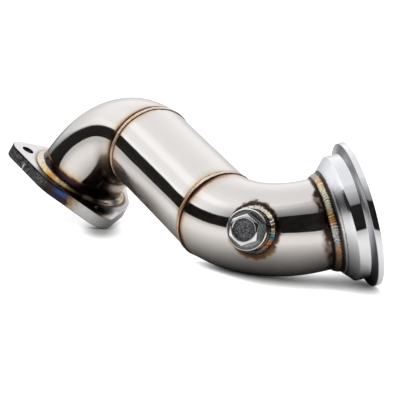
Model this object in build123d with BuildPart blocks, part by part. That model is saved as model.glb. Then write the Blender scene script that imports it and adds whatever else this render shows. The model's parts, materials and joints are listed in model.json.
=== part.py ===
from math import cos, radians, sin, tan
import os

from build123d import *

os.makedirs("parts", exist_ok=True)

# All sizes are in millimetres and all angles in degrees.
# The pipe lies at rest on the plane Z = 0. The origin is on that plane, under the middle of the
# whole pipe, and +X points the way the V-band outlet faces, seen from above.
# Frames run up the pipe, from the V-band outlet to the flange. In each one +Z follows the gas
# from the flange to the outlet, and +X points to the centre of the bend next to it.

# Tube
tube_diameter = 63.5
tube_wall = 1.5
bend_radius = 63.5
cut_margin = 1.0

# Run of the pipe
outlet_x = 100.68
outlet_y = -96.55
outlet_height = 48.84
outlet_tilt = 18.2
outlet_roll = -68.15
outlet_leg = 4.4
lower_bend = 69.2
lower_mitre = 8.4
middle_length = 104.0
roll_between_bends = -129.7
upper_mitre = 2.0
upper_bend = 81.7
flange_side_lean = 2.6
flange_back_lean = -0.6

# V-band outlet, measured from the end of the cone at the tube
vband_length = 26.3
hub_start = 1.0
hub_step = 0.28
hub_wall = 1.5
cone_end = 11.5
barrel_end = 19.4
barrel_wall = 4.8
lip_start = 22.0
lip_diameter = 100.0
lip_depth = 6.7
lip_land = 8.5
register_depth = 2.0
lip_edge = 0.4

# Flange plate
flange_thickness = 9.0
bolt_circle = 88.0
bolt_hole = 9.0
bolt_count = 3
ear_radius = 12.0
flange_body_diameter = 83.0
flange_clocking = -122.8
flange_edge = 0.6

# Welds
seam_half_width = 1.8
seam_height = 0.9
weld_sink = 0.25
weld_clearance = 0.1
flange_weld_toe = 73.6
flange_weld_height = 3.4
vband_weld_start = -2.6
vband_weld_end = 3.4
weld_crown = 0.6

# Sensor boss and plug
boss_angle = 32.2
boss_roll = 145.0
boss_diameter = 25.4
boss_stand = 9.2
boss_reach = 0.2
boss_clearance = 0.1
boss_edge = 0.5
thread_bore = 16.6
shank_clearance = 0.1
shank_length = 11.0
shank_edge = 1.0
boss_weld_diameter = 34.0
boss_weld_height = 3.4
boss_weld_bevel = 2.9
collar_diameter = 28.0
collar_thickness = 3.0
collar_edge = 0.5
hex_across_flats = 19.0
hex_height = 6.5
hex_crown_diameter = 17.2
hex_crown_angle = 30.0
dish_diameter = 16.0
dish_floor_diameter = 14.2
dish_depth = 1.2

# Derived sizes
tube_radius = tube_diameter / 2
tube_bore_radius = tube_radius - tube_wall
seam_overrun = tube_radius * tan(radians(lower_mitre / 2)) + cut_margin
flange_overrun = tube_radius * tan(radians(flange_side_lean)) + cut_margin
weld_root_radius = tube_bore_radius + tube_wall / 2
hub_radius = tube_radius + hub_step
barrel_radius = lip_diameter / 2 - lip_depth
barrel_bore_radius = barrel_radius - barrel_wall
register_radius = lip_diameter / 2 - lip_land
cone_slope = (barrel_radius - hub_radius) / (cone_end - hub_start)
boss_start = (tube_bore_radius**2 - (boss_diameter / 2) ** 2) ** 0.5 - boss_reach
boss_end = tube_radius + boss_stand
shank_radius = thread_bore / 2 - shank_clearance


def turned(frame, direction, angle):
    """The frame turned by an angle about a direction through its origin."""
    pivot = Axis((0, 0, 0), direction)
    return Plane(
        frame.origin,
        x_dir=frame.x_dir.rotate(pivot, angle),
        z_dir=frame.z_dir.rotate(pivot, angle),
    )


def rolled(frame, angle):
    """The frame rolled about the run of the pipe."""
    return turned(frame, frame.z_dir, angle)


def bent_back(frame, angle):
    """The frame turned in the plane of its bend, as a bend turns it on the way up the pipe."""
    return turned(frame, frame.y_dir, -angle)


def bend_start(end, angle):
    """Frame at the start of a bend that finishes on the frame given."""
    start = bent_back(end, angle)
    centre = end.origin + end.x_dir * bend_radius
    return Plane(centre - start.x_dir * bend_radius, x_dir=start.x_dir, z_dir=start.z_dir)


def bend_axis(end):
    """Axis of the bend that finishes on the frame given."""
    return Axis(end.origin + end.x_dir * bend_radius, -end.y_dir)


def section(base):
    """Plane through the axis of a frame, with x as the radius and y along the axis."""
    return Plane(base.origin, x_dir=base.x_dir, z_dir=-base.y_dir)


# Frames up the pipe
outlet_upright = Plane(
    (outlet_x, outlet_y, outlet_height),
    x_dir=(-sin(radians(outlet_tilt)), 0, cos(radians(outlet_tilt))),
    z_dir=(cos(radians(outlet_tilt)), 0, sin(radians(outlet_tilt))),
)
outlet_face = rolled(outlet_upright, outlet_roll)
outlet_seat = outlet_face.offset(-vband_length)
tube_end = outlet_seat.offset(hub_start)
lower_end = outlet_seat.offset(-outlet_leg)
lower_start = bend_start(lower_end, lower_bend)
lower_seam = bent_back(lower_start, lower_mitre / 2)
middle_end = bent_back(lower_start, lower_mitre)
middle_start = rolled(middle_end.offset(-middle_length), roll_between_bends)
upper_seam = bent_back(middle_start, upper_mitre / 2)
upper_end = bent_back(middle_start, upper_mitre)
upper_start = bend_start(upper_end, upper_bend)
flange_side = turned(upper_start, upper_start.x_dir, flange_side_lean)
flange_top = turned(flange_side, flange_side.y_dir, flange_back_lean)
flange_frame = rolled(flange_top, flange_clocking)
boss_point = bend_start(lower_end, boss_angle)
boss_frame = Plane(
    boss_point.origin,
    x_dir=boss_point.z_dir,
    z_dir=rolled(boss_point, boss_roll).x_dir,
)

# Flange plate: three ears around a round body, with a bore as wide as the tube inside
with BuildPart() as flange_plate:
    with BuildSketch(flange_frame):
        Circle(flange_body_diameter / 2)
        with PolarLocations(bolt_circle / 2, bolt_count):
            Circle(ear_radius)
        make_hull()
    extrude(amount=-flange_thickness)
    flange_rims = flange_plate.edges().filter_by(
        lambda edge: abs(flange_top.to_local_coords(edge.center()).Z) < 0.01
    )
    chamfer(flange_rims, flange_edge)
    with BuildSketch(flange_frame):
        Circle(tube_bore_radius)
        with PolarLocations(bolt_circle / 2, bolt_count):
            Circle(bolt_hole / 2)
    extrude(amount=-flange_thickness, mode=Mode.SUBTRACT)

# Outside of the upper elbow, cut to meet the flange plate and the middle tube
with BuildPart() as upper_outside:
    with BuildSketch(upper_end):
        Circle(tube_radius)
    revolve(axis=bend_axis(upper_end), revolution_arc=upper_bend)
    with BuildSketch(upper_end):
        Circle(tube_radius)
    extrude(amount=seam_overrun)
    with BuildSketch(upper_start):
        Circle(tube_radius)
    extrude(amount=-flange_overrun)
    split(bisect_by=flange_top, keep=Keep.TOP)
    split(bisect_by=upper_seam, keep=Keep.BOTTOM)

# Upper elbow
with BuildPart() as upper_elbow:
    add(upper_outside.part)
    with BuildSketch(upper_end):
        Circle(tube_bore_radius)
    revolve(axis=bend_axis(upper_end), revolution_arc=upper_bend, mode=Mode.SUBTRACT)
    with BuildSketch(upper_end):
        Circle(tube_bore_radius)
    extrude(amount=seam_overrun, mode=Mode.SUBTRACT)
    with BuildSketch(upper_start):
        Circle(tube_bore_radius)
    extrude(amount=-flange_overrun, mode=Mode.SUBTRACT)

# Outside of the straight middle tube, cut to meet both elbows
with BuildPart() as middle_outside:
    with BuildSketch(middle_start.offset(-seam_overrun)):
        Circle(tube_radius)
    extrude(amount=middle_length + 2 * seam_overrun)
    split(bisect_by=upper_seam, keep=Keep.TOP)
    split(bisect_by=lower_seam, keep=Keep.BOTTOM)

# Middle tube
with BuildPart() as middle_tube:
    add(middle_outside.part)
    with BuildSketch(middle_start.offset(-seam_overrun)):
        Circle(tube_bore_radius)
    extrude(amount=middle_length + 2 * seam_overrun, mode=Mode.SUBTRACT)

# Outside of the lower elbow, with a short straight leg up to the outlet
with BuildPart() as lower_outside:
    with BuildSketch(lower_end):
        Circle(tube_radius)
    revolve(axis=bend_axis(lower_end), revolution_arc=lower_bend)
    with BuildSketch(lower_end):
        Circle(tube_radius)
    extrude(amount=outlet_leg + hub_start)
    with BuildSketch(lower_start):
        Circle(tube_radius)
    extrude(amount=-seam_overrun)
    split(bisect_by=lower_seam, keep=Keep.TOP)

# Lower elbow, holed for the sensor boss
with BuildPart() as lower_elbow:
    add(lower_outside.part)
    with BuildSketch(lower_end):
        Circle(tube_bore_radius)
    revolve(axis=bend_axis(lower_end), revolution_arc=lower_bend, mode=Mode.SUBTRACT)
    with BuildSketch(lower_end):
        Circle(tube_bore_radius)
    extrude(amount=outlet_leg + hub_start, mode=Mode.SUBTRACT)
    with BuildSketch(lower_start):
        Circle(tube_bore_radius)
    extrude(amount=-seam_overrun, mode=Mode.SUBTRACT)
    with BuildSketch(boss_frame):
        Circle(boss_diameter / 2 + boss_clearance)
    extrude(amount=boss_end, mode=Mode.SUBTRACT)

# Bed of the welds on the upper elbow, a little wider than the elbow and run on past the plate
with BuildPart() as upper_bed:
    with BuildSketch(upper_end):
        Circle(tube_radius + weld_clearance)
    revolve(axis=bend_axis(upper_end), revolution_arc=upper_bend)
    with BuildSketch(upper_end):
        Circle(tube_radius + weld_clearance)
    extrude(amount=seam_overrun)
    with BuildSketch(upper_start):
        Circle(tube_radius + weld_clearance)
    extrude(amount=-flange_overrun)
    split(bisect_by=upper_seam, keep=Keep.BOTTOM)

# Bed of the weld at the foot of the lower elbow, a little wider than the elbow
with BuildPart() as lower_bed:
    with BuildSketch(lower_end):
        Circle(tube_radius + weld_clearance)
    revolve(axis=bend_axis(lower_end), revolution_arc=lower_bend)
    with BuildSketch(lower_start):
        Circle(tube_radius + weld_clearance)
    extrude(amount=-seam_overrun)
    split(bisect_by=lower_seam, keep=Keep.TOP)

# Weld bead round the foot of the upper elbow, on the flange plate
with BuildPart() as flange_weld:
    with BuildSketch(section(flange_frame)):
        with BuildLine():
            toe = (flange_weld_toe / 2, 0)
            top = (tube_radius - weld_sink, flange_weld_height)
            crown = (
                (toe[0] + top[0]) / 2 + weld_crown,
                (toe[1] + top[1]) / 2 + weld_crown,
            )
            ThreePointArc(toe, crown, top)
            Polyline(top, (weld_root_radius, flange_weld_height), (weld_root_radius, 0), toe)
        make_face()
    revolve(axis=Axis(flange_top.origin, flange_top.z_dir))
    add(upper_bed.part, mode=Mode.SUBTRACT)

# Weld bead between the upper elbow and the middle tube
with BuildPart() as upper_seam_weld:
    with BuildSketch(section(upper_seam)):
        with BuildLine():
            ThreePointArc(
                (tube_radius - weld_sink, -seam_half_width),
                (tube_radius + seam_height, 0),
                (tube_radius - weld_sink, seam_half_width),
            )
            Polyline(
                (tube_radius - weld_sink, seam_half_width),
                (weld_root_radius, seam_half_width),
                (weld_root_radius, -seam_half_width),
                (tube_radius - weld_sink, -seam_half_width),
            )
        make_face()
    revolve(axis=Axis(upper_seam.origin, upper_seam.z_dir))
    add(upper_bed.part, mode=Mode.SUBTRACT)
    add(middle_outside.part, mode=Mode.SUBTRACT)

# Weld bead between the middle tube and the lower elbow
with BuildPart() as lower_seam_weld:
    with BuildSketch(section(lower_seam)):
        with BuildLine():
            ThreePointArc(
                (tube_radius - weld_sink, -seam_half_width),
                (tube_radius + seam_height, 0),
                (tube_radius - weld_sink, seam_half_width),
            )
            Polyline(
                (tube_radius - weld_sink, seam_half_width),
                (weld_root_radius, seam_half_width),
                (weld_root_radius, -seam_half_width),
                (tube_radius - weld_sink, -seam_half_width),
            )
        make_face()
    revolve(axis=Axis(lower_seam.origin, lower_seam.z_dir))
    add(lower_bed.part, mode=Mode.SUBTRACT)
    add(middle_outside.part, mode=Mode.SUBTRACT)

# V-band outlet: a cone that widens to a short barrel, with a V-shaped lip at the face
with BuildPart() as vband_flange:
    with BuildSketch(section(outlet_seat)):
        with BuildLine():
            Polyline(
                (hub_radius, hub_start),
                (barrel_radius, cone_end),
                (barrel_radius, barrel_end),
                (lip_diameter / 2, lip_start),
                (lip_diameter / 2, vband_length - lip_edge),
                (lip_diameter / 2 - lip_edge, vband_length),
                (register_radius, vband_length),
                (register_radius, vband_length - register_depth),
                (barrel_bore_radius, vband_length - register_depth),
                (barrel_bore_radius, cone_end - hub_start),
                (tube_bore_radius, hub_start + hub_wall),
                (tube_bore_radius, hub_start),
                (hub_radius, hub_start),
            )
        make_face()
    revolve(axis=Axis(outlet_seat.origin, outlet_seat.z_dir))

# Weld bead between the lower elbow and the outlet cone
with BuildPart() as vband_weld:
    with BuildSketch(section(outlet_seat)):
        with BuildLine():
            cone_meet = (
                hub_radius + cone_slope * (vband_weld_end - hub_start),
                vband_weld_end,
            )
            tube_meet = (tube_radius, vband_weld_start)
            crest = (
                (cone_meet[0] + tube_meet[0]) / 2 + weld_crown,
                (cone_meet[1] + tube_meet[1]) / 2 - weld_crown,
            )
            ThreePointArc(tube_meet, crest, cone_meet)
            Polyline(
                cone_meet,
                (hub_radius, hub_start),
                (tube_radius, hub_start),
                tube_meet,
            )
        make_face()
    revolve(axis=Axis(outlet_seat.origin, outlet_seat.z_dir))

# Sensor boss, a threaded ring let into the outside of the lower elbow
with BuildPart() as sensor_boss:
    with BuildSketch(boss_frame.offset(boss_start)):
        Circle(boss_diameter / 2)
    extrude(amount=boss_end - boss_start)
    boss_rim = sensor_boss.faces().sort_by(Axis(boss_frame.origin, boss_frame.z_dir))[-1].edges()
    chamfer(boss_rim, boss_edge)
    with BuildSketch(boss_frame.offset(boss_start)):
        Circle(thread_bore / 2)
    extrude(amount=boss_end - boss_start, mode=Mode.SUBTRACT)

# Weld bead round the sensor boss, a skin over the elbow with a bevelled outside
with BuildPart() as boss_weld:
    with BuildSketch(lower_end):
        Circle(tube_radius + boss_weld_height)
    revolve(axis=bend_axis(lower_end), revolution_arc=lower_bend)
    with BuildSketch(boss_frame):
        Circle(boss_weld_diameter / 2)
    extrude(amount=boss_end, mode=Mode.INTERSECT)
    weld_rim = boss_weld.edges().filter_by(
        lambda edge: (
            boss_frame.to_local_coords(edge.center()).Z > tube_radius / 2
            and (edge @ 0.25 - boss_frame.origin).cross(boss_frame.z_dir).length
            > boss_weld_diameter / 2 - boss_clearance
        )
    )
    chamfer(weld_rim, boss_weld_bevel)
    add(lower_outside.part, mode=Mode.SUBTRACT)
    with BuildSketch(boss_frame):
        Circle(boss_diameter / 2)
    extrude(amount=boss_end, mode=Mode.SUBTRACT)

# Plug: a plain shank that fills the thread, a round collar and a dished hexagon
with BuildPart() as sensor_plug:
    with BuildSketch(section(boss_frame)):
        with BuildLine():
            collar_top = boss_end + collar_thickness
            Polyline(
                (0, boss_end - shank_length),
                (shank_radius - shank_edge, boss_end - shank_length),
                (shank_radius, boss_end - shank_length + shank_edge),
                (shank_radius, boss_end),
                (collar_diameter / 2, boss_end),
                (collar_diameter / 2, collar_top - collar_edge),
                (collar_diameter / 2 - collar_edge, collar_top),
                (0, collar_top),
                (0, boss_end - shank_length),
            )
        make_face()
    revolve(axis=Axis(boss_frame.origin, boss_frame.z_dir))
    with BuildSketch(boss_frame.offset(collar_top)):
        RegularPolygon(hex_across_flats / 2, 6, major_radius=False)
    extrude(amount=hex_height)
    with BuildSketch(section(boss_frame)):
        with BuildLine():
            hex_top = collar_top + hex_height
            crown_start = hex_crown_diameter / 2
            crown_run = hex_across_flats - crown_start
            crown_drop = crown_run * tan(radians(hex_crown_angle))
            Polyline(
                (crown_start, hex_top),
                (crown_start + crown_run, hex_top - crown_drop),
                (crown_start + crown_run, hex_top),
                (crown_start, hex_top),
            )
        make_face()
    revolve(axis=Axis(boss_frame.origin, boss_frame.z_dir), mode=Mode.SUBTRACT)
    with BuildSketch(section(boss_frame)):
        with BuildLine():
            Polyline(
                (0, hex_top),
                (dish_diameter / 2, hex_top),
                (dish_floor_diameter / 2, hex_top - dish_depth),
                (0, hex_top - dish_depth),
                (0, hex_top),
            )
        make_face()
    revolve(axis=Axis(boss_frame.origin, boss_frame.z_dir), mode=Mode.SUBTRACT)

flange_plate.part.label = "flange_plate"
export_step(flange_plate.part, "parts/flange_plate.step")
flange_weld.part.label = "flange_weld"
export_step(flange_weld.part, "parts/flange_weld.step")
upper_elbow.part.label = "upper_elbow"
export_step(upper_elbow.part, "parts/upper_elbow.step")
upper_seam_weld.part.label = "upper_seam_weld"
export_step(upper_seam_weld.part, "parts/upper_seam_weld.step")
middle_tube.part.label = "middle_tube"
export_step(middle_tube.part, "parts/middle_tube.step")
lower_seam_weld.part.label = "lower_seam_weld"
export_step(lower_seam_weld.part, "parts/lower_seam_weld.step")
lower_elbow.part.label = "lower_elbow"
export_step(lower_elbow.part, "parts/lower_elbow.step")
sensor_boss.part.label = "sensor_boss"
export_step(sensor_boss.part, "parts/sensor_boss.step")
boss_weld.part.label = "boss_weld"
export_step(boss_weld.part, "parts/boss_weld.step")
sensor_plug.part.label = "sensor_plug"
export_step(sensor_plug.part, "parts/sensor_plug.step")
vband_weld.part.label = "vband_weld"
export_step(vband_weld.part, "parts/vband_weld.step")
vband_flange.part.label = "vband_flange"
export_step(vband_flange.part, "parts/vband_flange.step")
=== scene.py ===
import json
import math

import bpy
import numpy as np
from mathutils import Matrix, Quaternion, Vector, noise

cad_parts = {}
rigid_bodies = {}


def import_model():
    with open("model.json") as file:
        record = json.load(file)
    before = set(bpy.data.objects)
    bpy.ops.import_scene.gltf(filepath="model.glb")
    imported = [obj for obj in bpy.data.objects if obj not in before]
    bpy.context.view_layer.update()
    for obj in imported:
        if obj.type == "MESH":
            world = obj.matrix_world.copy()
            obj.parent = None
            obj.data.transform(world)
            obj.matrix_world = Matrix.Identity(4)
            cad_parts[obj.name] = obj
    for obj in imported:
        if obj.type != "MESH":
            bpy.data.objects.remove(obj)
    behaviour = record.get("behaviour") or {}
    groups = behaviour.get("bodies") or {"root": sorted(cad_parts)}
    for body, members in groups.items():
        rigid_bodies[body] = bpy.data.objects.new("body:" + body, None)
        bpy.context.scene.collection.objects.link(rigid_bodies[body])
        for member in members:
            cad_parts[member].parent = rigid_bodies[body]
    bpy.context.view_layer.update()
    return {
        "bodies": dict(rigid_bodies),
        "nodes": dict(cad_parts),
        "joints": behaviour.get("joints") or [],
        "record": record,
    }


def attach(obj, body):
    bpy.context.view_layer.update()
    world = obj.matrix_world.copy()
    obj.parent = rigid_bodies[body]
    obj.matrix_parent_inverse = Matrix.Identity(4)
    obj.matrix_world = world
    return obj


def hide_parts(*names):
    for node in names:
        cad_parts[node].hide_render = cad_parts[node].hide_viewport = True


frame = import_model()
nodes = frame["nodes"]
scene = bpy.context.scene
MM = 0.001
FULL_TURN = 2 * math.pi

# Sizes of the pipe, in millimetres and degrees
TUBE_R = 31.75
BORE_R = 30.25
BEND_R = 63.5
LOWER_BEND = 69.2
LOWER_MITRE = 8.4
MIDDLE = 104.0
ROLL = -129.7
UPPER_MITRE = 2.0
UPPER_BEND = 81.7

# Outlet: heights are from its seat on the lower elbow's leg
OUTLET_TILT = 18.2
OUTLET_ROLL = -68.15
VBAND = 26.3
LEG = 4.4
HUB = 1.0
HUB_R = 32.03
CONE_END = 11.5
BARREL_R = 43.3
BARREL_END = 19.4
LIP_START = 22.0
LIP_R = 49.91
REGISTER_R = 41.5
REGISTER_H = 24.3
OUTLET_BORE_R = 38.5
INNER_CONE = (2.5, 10.5)
OUTLET_ROUND = 0.4
OUTLET_LEAN = 0.105

# Flange plate
FLANGE_LEAN = 2.6
FLANGE_TIP = -0.6
FLANGE_T = 9.0
BOLT_R = 44.0
BOLT_HOLE_R = 4.8

# Sensor boss and its plug
BOSS_BACK = 32.2
BOSS_ROLL = 145.0
BOSS_R = 12.7
BOSS_TOP = 40.95
SHANK_R = 8.2
SHANK_END = BOSS_TOP - 11
COLLAR_R = 14.0
COLLAR_T = 3.0
COLLAR_FACE = BOSS_TOP + COLLAR_T
HEX_FLATS = 19.0
HEX_H = 6.5
HEX_TURN = math.radians(7)
HEX_ROUND = 0.18
PLUG_TOP = COLLAR_FACE + HEX_H
CROWN_R = 8.6
DISH_R = 8.0
DISH_FLOOR_R = 7.1
DISH_D = 1.2
RIM = 0.6
AXIS_R = 0.01

# Camera, fitted to the photograph: the picture's right and down, and its place in millimetres
CAMERA_RIGHT = Vector((0.97696223, -0.1892315, 0.09867234))
CAMERA_DOWN = Vector((0.06541663, -0.17456432, -0.98247034))
CAMERA_PLACE = Vector((-333.22, -1629.95, 301.7))
CAMERA_LENS = 213.74


class Frame:
    """A place on the pipe: origin o and directions x, y and z, with z along the gas to the outlet."""

    def __init__(self, o, x, z):
        self.o = Vector(o)
        self.x = Vector(x).normalized()
        self.z = Vector(z).normalized()
        self.y = self.z.cross(self.x)

    def turned(self, axis, angle):
        q = Quaternion(axis, math.radians(angle))
        return Frame(self.o, q @ self.x, q @ self.z)

    def along(self, d):
        return Frame(self.o + self.z * d, self.x, self.z)

    def back(self, angle):
        return self.turned(self.y, -angle)

    def bend_start(self, angle):
        f = self.back(angle)
        return Frame(self.o + self.x * BEND_R - f.x * BEND_R, f.x, f.z)

    def arrays(self):
        return [np.array(v) for v in (self.o, self.x, self.y, self.z)]


tilt = math.radians(OUTLET_TILT)
outlet_face = Frame(
    (100.68, -96.55, 48.84),
    (-math.sin(tilt), 0, math.cos(tilt)),
    (math.cos(tilt), 0, math.sin(tilt)),
)
outlet_face = outlet_face.turned(outlet_face.z, OUTLET_ROLL)
seat = outlet_face.along(-VBAND)
lower_end = seat.along(-LEG)
lower_start = lower_end.bend_start(LOWER_BEND)
lower_seam = lower_start.back(LOWER_MITRE / 2)
middle_end = lower_start.back(LOWER_MITRE)
middle_start = middle_end.along(-MIDDLE)
middle_start = middle_start.turned(middle_start.z, ROLL)
upper_seam = middle_start.back(UPPER_MITRE / 2)
upper_end = middle_start.back(UPPER_MITRE)
upper_start = upper_end.bend_start(UPPER_BEND)
flange_top = upper_start.turned(upper_start.x, FLANGE_LEAN)
flange_top = flange_top.turned(flange_top.y, FLANGE_TIP)
boss_point = lower_end.bend_start(BOSS_BACK)
boss = Frame(boss_point.o, boss_point.z, boss_point.turned(boss_point.z, BOSS_ROLL).x)


# Places on the pipe, as arrays of points in millimetres
def bisect(holds, low, high, halvings=40):
    """Where a test stops to hold between low, where it does, and high."""
    for _ in range(halvings):
        mid = (low + high) / 2
        same = holds(mid)
        low, high = np.where(same, mid, low), np.where(same, high, mid)
    return low


class Run:
    """A bend with straight tube before and after it; a is the distance up the pipe."""

    def __init__(self, end, bend):
        self.o, self.x, self.y, self.z = end.arrays()
        self.length = BEND_R * math.radians(bend)
        self.curved = bend > 0

    def point(self, a, u, r):
        a, u, r = np.broadcast_arrays(a, u, r)
        if self.curved:
            inside = np.clip(a, 0, self.length)
            th = inside / BEND_R
            c, s = np.cos(th)[..., None], np.sin(th)[..., None]
            x = self.x * c + self.z * s
            z = self.z * c - self.x * s
            o = self.o + self.x * BEND_R - x * BEND_R - z * (a - inside)[..., None]
        else:
            x = np.broadcast_to(self.x, a.shape + (3,))
            o = self.o - self.z * a[..., None]
        out = x * np.cos(u)[..., None] + self.y * np.sin(u)[..., None]
        return o + out * r[..., None]

    def meet(self, u, r, plane, middle, reach=8.0):
        """Where the tube's surface meets a plane near the middle, for each angle round it."""
        o, n = np.array(plane.o), np.array(plane.z)
        low, high = np.full(u.shape, middle - reach), np.full(u.shape, middle + reach)
        sign = np.sign((self.point(low, u, r) - o) @ n)
        return bisect(lambda a: np.sign((self.point(a, u, r) - o) @ n) == sign, low, high)


class Ring:
    """Angles u round a frame's z axis, one a row, with points at any radius and height."""

    def __init__(self, frame, count):
        self.o, x, y, self.n = frame.arrays()
        self.u = np.linspace(0, FULL_TURN, count, endpoint=False)[:, None]
        self.out = np.cos(self.u)[..., None] * x + np.sin(self.u)[..., None] * y

    def points(self, r, h):
        r, h = np.broadcast_arrays(r + 0 * self.u, h)
        return self.o + self.out * r[..., None] + self.n * h[..., None]


def axis_distance(points):
    """Distance from the centreline of the lower elbow and its leg."""
    o, x, y, z = lower_end.arrays()
    q = points - (o + x * BEND_R)
    a, b, h = -(q @ x), -(q @ z), q @ y
    th = np.clip(np.arctan2(b, a), 0, math.radians(LOWER_BEND))
    return np.sqrt((a - np.cos(th) * BEND_R) ** 2 + (b - np.sin(th) * BEND_R) ** 2 + h**2)


def surface_radius(plane, axis, u, s):
    """Distance from a plane's origin to a tube's surface, at angle u and height s."""
    o, x, y, n = plane.arrays()
    a = np.array(axis.z)
    e = np.cos(u)[..., None] * x + np.sin(u)[..., None] * y
    ea, na = e @ a, n @ a
    p = 1 - ea**2
    q = -s * ea * na
    c = s**2 * (1 - na**2) - TUBE_R**2
    return (-q + np.sqrt(q**2 - p * c)) / p


def wobble(points, scale, seed):
    """Smooth noise between -1 and 1 at points in millimetres."""
    flat = points.reshape(-1, 3)
    made = [noise.noise(Vector(p * scale) + Vector((seed, seed * 0.7, 3.1))) for p in flat]
    return np.array(made).reshape(points.shape[:-1])


# Meshes
def new_object(name, points, faces, material, attributes=None):
    """A mesh object from points in metres, with numbers kept at its points."""
    mesh = bpy.data.meshes.new(name)
    mesh.from_pydata(points, [], faces)
    mesh.validate()
    for key, values in (attributes or {}).items():
        made = mesh.attributes.new(key, "FLOAT", "POINT")
        made.data.foreach_set("value", np.asarray(values, np.float32).ravel())
    mesh.materials.append(material)
    obj = bpy.data.objects.new(name, mesh)
    scene.collection.objects.link(obj)
    return obj


def add_piece(name, points, faces, material, sharp, attributes=None):
    """A dressed piece that stands for the CAD node of its name."""
    flat = np.reshape(points, (-1, 3)) * MM
    obj = new_object(name, [tuple(p) for p in flat], faces, material, attributes)
    obj.data.shade_smooth()
    obj.data.set_sharp_from_angle(angle=math.radians(sharp))
    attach(obj, "root")
    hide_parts(name)


def wrap_faces(rows, cols, close_rows=True):
    """Quads of a grid whose columns run round; rows may close on themselves too."""
    faces = []
    for i in range(rows if close_rows else rows - 1):
        row, following = i * cols, (i + 1) % rows * cols
        for k in range(cols):
            n = (k + 1) % cols
            faces.append((row + k, row + n, following + n, following + k))
    return faces


# Node materials
class Nodes:
    """Adds nodes to a tree. Values are numbers, colours, vectors or other nodes' sockets."""

    def __init__(self, tree):
        self.tree = tree

    def feed(self, socket, value):
        if hasattr(value, "is_linked"):
            self.tree.links.new(value, socket)
        elif isinstance(value, (tuple, Vector)):
            full = list(value)
            if len(full) == 3 and socket.type == "RGBA":
                full.append(1)
            socket.default_value = full
        else:
            socket.default_value = value

    def new(self, kind, **inputs):
        node = self.tree.nodes.new("ShaderNode" + kind)
        for key, value in inputs.items():
            self.feed(node.inputs[key], value)
        return node

    def fill(self, node, *values):
        """Feeds a node's inputs in their order."""
        for socket, value in zip(node.inputs, values):
            self.feed(socket, value)
        return node.outputs[0]

    def math(self, op, a, b=0.0, c=0.0, clamp=False):
        node = self.new("Math")
        node.operation, node.use_clamp = op, clamp
        return self.fill(node, a, b, c)

    def mul(self, first, *others):
        for other in others:
            first = self.math("MULTIPLY", first, other)
        return first

    def add(self, a, b):
        return self.math("ADD", a, b)

    def sub(self, a, b):
        return self.math("SUBTRACT", a, b)

    def madd(self, a, b, c):
        """a times b, plus c."""
        return self.math("MULTIPLY_ADD", a, b, c)

    def less(self, a, b):
        return self.math("LESS_THAN", a, b)

    def more(self, a, b):
        return self.math("GREATER_THAN", a, b)

    def swing(self, value, size):
        """A value between 0 and 1 made to lie evenly about 0, size wide."""
        return self.madd(value, size, -size / 2)

    def span(self, value, low, high, out_low=0.0, out_high=1.0, smooth=True):
        node = self.new("MapRange")
        node.interpolation_type = "SMOOTHSTEP" if smooth else "LINEAR"
        return self.fill(node, value, low, high, out_low, out_high)

    def vec(self, op, a, b=(0, 0, 0), scale=1.0):
        node = self.new("VectorMath")
        node.operation = op
        self.feed(node.inputs[0], a)
        if op == "SCALE":
            node.inputs["Scale"].default_value = scale
        else:
            self.feed(node.inputs[1], b)
        return node.outputs["Value" if op in ("DOT_PRODUCT", "LENGTH", "DISTANCE") else "Vector"]

    def combine(self, x, y=0.0, z=0.0):
        return self.fill(self.new("CombineXYZ"), x, y, z)

    def noise(self, scale, detail=3, rough=0.6, at=None):
        where = self.p if at is None else at
        node = self.new("TexNoise", Vector=where, Scale=scale, Detail=detail, Roughness=rough)
        return node.outputs["Fac"]

    def mix_shader(self, fac, a, b):
        return self.fill(self.new("MixShader"), fac, a, b)


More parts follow.
